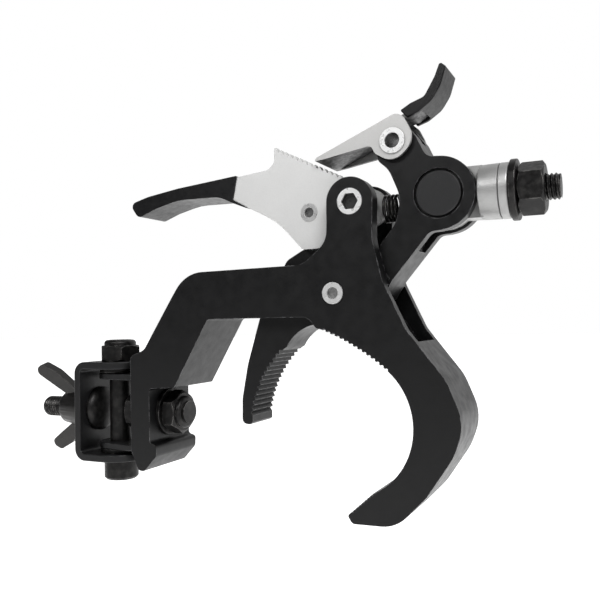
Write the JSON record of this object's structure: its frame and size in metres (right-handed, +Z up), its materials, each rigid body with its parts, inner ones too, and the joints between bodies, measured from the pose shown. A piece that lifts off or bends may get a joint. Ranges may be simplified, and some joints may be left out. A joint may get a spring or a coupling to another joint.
{
  "type": "pipe clamp",
  "caption": "Squeeze-lever pipe clamp with toothed hook and jaw, ratchet pawl with thumb release, swivelling threaded stud and two-axis accessory bracket.",
  "frame": {"origin": "centre of the hook bore, half way through the casting along the pipe", "axes": "+Y along the pipe, +X towards the yoke stud, +Z up towards the lever"},
  "size_m": [0.2428, 0.0316, 0.1715],
  "materials": {
    "satin_black_casting": "satin black powder coat on cast aluminium",
    "satin_black_jaw": "satin black powder coat on cast aluminium",
    "hub_cap": "matt black",
    "silver_plate": "matt bead-blasted silver",
    "bright_steel": "bright zinc plated",
    "nickel_sheet": "satin nickel plated sheet",
    "turned_steel": "turned steel",
    "moulded_black": "fine moulded black",
    "bracket_black": "black coat on pressed steel",
    "spring_wire": "black oxide wire",
    "black_hardware": "black oxide"
  },
  "bodies": {
    "casting": {"main_casting": "satin_black_casting", "hub_caps": "hub_cap", "hub_pin": "bright_steel", "lever_pivot_barrel": "bright_steel", "lever_pivot_screw": "bright_steel", "jaw_pivot_rivet": "bright_steel", "return_spring": "spring_wire", "pawl_spring": "spring_wire", "pawl_shims": "bright_steel", "foot_bolt": "black_hardware", "foot_washer": "black_hardware", "foot_nut": "black_hardware"},
    "lever": {"lever_plate_front": "silver_plate", "lever_plate_rear": "silver_plate", "lever_spacer": "bright_steel", "lever_link_rivet": "bright_steel", "lever_grip": "moulded_black"},
    "link": {"drive_link": "bright_steel"},
    "jaw": {"jaw": "satin_black_jaw", "jaw_link_pin": "bright_steel"},
    "pawl_axle": {"pawl_rivet": "nickel_sheet"},
    "pawl": {"pawl_channel": "nickel_sheet", "thumb_tab": "moulded_black"},
    "stub": {"swivel_stub": "turned_steel", "yoke_bolt": "black_hardware"},
    "yoke_washer": {"yoke_washer": "black_hardware"},
    "yoke_nut": {"yoke_nut": "black_hardware"},
    "roll_bracket": {"inner_bracket": "bracket_black"},
    "pan_bracket": {"outer_bracket": "bracket_black", "pan_bolt": "black_hardware", "pan_washers": "black_hardware", "pan_nut": "black_hardware", "carriage_bolt": "black_hardware"},
    "wing_washer": {"wing_washer": "black_hardware"},
    "wing_nut": {"wing_nut": "black_hardware"}
  },
  "joints": [
    {"name": "lever_squeeze", "type": "hinge", "parent": "casting", "child": "lever", "pos_m": [0.0045, 0, 0.085], "axis": [0, -1, 0], "range_deg": [0, 18], "stiffness_Nm_per_rad": 0.6, "springref_deg": -28.65},
    {"name": "link_swing", "type": "hinge", "parent": "lever", "child": "link", "pos_m": [-0.0152, 0, 0.083], "axis": [0, -1, 0], "range_deg": [-28, 0.5]},
    {"name": "jaw_close", "type": "hinge", "parent": "casting", "child": "jaw", "pos_m": [-0.003, 0, 0.0502], "axis": [0, -1, 0], "range_deg": [-0.5, 21]},
    {"name": "pawl_follow", "type": "hinge", "parent": "casting", "child": "pawl_axle", "pos_m": [0.0208, 0, 0.107], "axis": [0, -1, 0], "range_deg": [-0.5, 12.5]},
    {"name": "pawl_release", "type": "hinge", "parent": "pawl_axle", "child": "pawl", "pos_m": [0.0208, 0, 0.107], "axis": [0, -1, 0], "range_deg": [-20, 0], "stiffness_Nm_per_rad": 0.08, "springref_deg": 17.19},
    {"name": "stub_swivel", "type": "hinge", "parent": "casting", "child": "stub", "pos_m": [0.0372, 0, 0.086], "axis": [0, -1, 0], "range_deg": [-65, 35]},
    {"name": "yoke_washer_slide", "type": "slide", "parent": "stub", "child": "yoke_washer", "axis": [1, 0, 0], "range_m": [0, 0.006]},
    {"name": "yoke_nut_turn", "type": "hinge", "parent": "yoke_washer", "child": "yoke_nut", "pos_m": [0.0372, 0, 0.086], "axis": [1, 0, 0], "range_deg": [-0.5, 1440.5]},
    {"name": "bracket_roll", "type": "hinge", "parent": "casting", "child": "roll_bracket", "pos_m": [-0.1025, 0, 0], "axis": [1, 0, 0], "continuous": true},
    {"name": "bracket_pan", "type": "hinge", "parent": "roll_bracket", "child": "pan_bracket", "pos_m": [-0.1183, 0, 0], "axis": [0, 0, 1], "range_deg": [-75, 75]},
    {"name": "wing_washer_slide", "type": "slide", "parent": "pan_bracket", "child": "wing_washer", "axis": [-1, 0, 0], "range_m": [0, 0.0045]},
    {"name": "wing_nut_turn", "type": "hinge", "parent": "wing_washer", "child": "wing_nut", "pos_m": [-0.1364, 0, 0], "axis": [-1, 0, 0], "range_deg": [-0.5, 1080.5]}
  ],
  "couplings": [
    {"joint": "link_swing", "follows": "lever_squeeze", "ratio": -1.54},
    {"joint": "jaw_close", "follows": "lever_squeeze", "ratio": 1.145},
    {"joint": "pawl_follow", "follows": "lever_squeeze", "ratio": 0.66},
    {"joint": "yoke_nut_turn", "follows": "yoke_washer_slide", "rad_per_m": 4188.8},
    {"joint": "wing_nut_turn", "follows": "wing_washer_slide", "rad_per_m": 4188.8}
  ]
}
